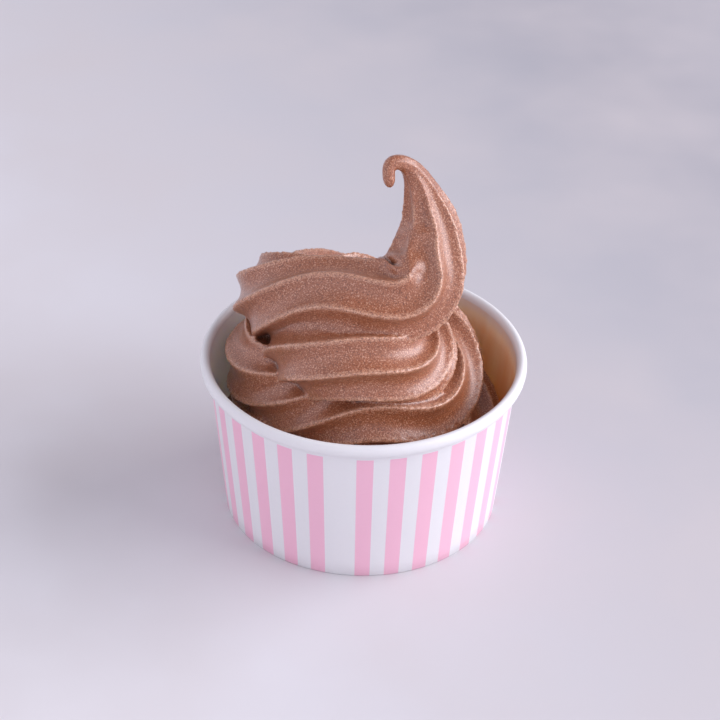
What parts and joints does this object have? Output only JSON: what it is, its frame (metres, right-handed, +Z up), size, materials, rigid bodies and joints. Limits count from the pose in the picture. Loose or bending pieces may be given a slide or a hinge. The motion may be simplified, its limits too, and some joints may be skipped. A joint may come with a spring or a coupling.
{
  "type": "ice cream cup",
  "caption": "Short round paper cup with a rolled rim and vertical stripes, filled with a tall fluted swirl of chocolate soft serve that ends in a curled peak.",
  "frame": {"origin": "the middle of the cup's foot, on the table", "axes": "+Z up along the cup's axis, -Y the front that the picture shows, +X to the viewer's right"},
  "size_m": [0.09, 0.09, 0.1101],
  "materials": {
    "cup_paper": "white coated paperboard with a satin sheen, printed with pink stripes",
    "base_paper": "white coated paperboard, unprinted",
    "chocolate_soft_serve": "frozen milk chocolate soft serve, soft satin with fine ice grain"
  },
  "bodies": {
    "root": {"cup_wall": "cup_paper", "cup_base": "base_paper", "soft_serve": "chocolate_soft_serve"}
  },
  "joints": []
}
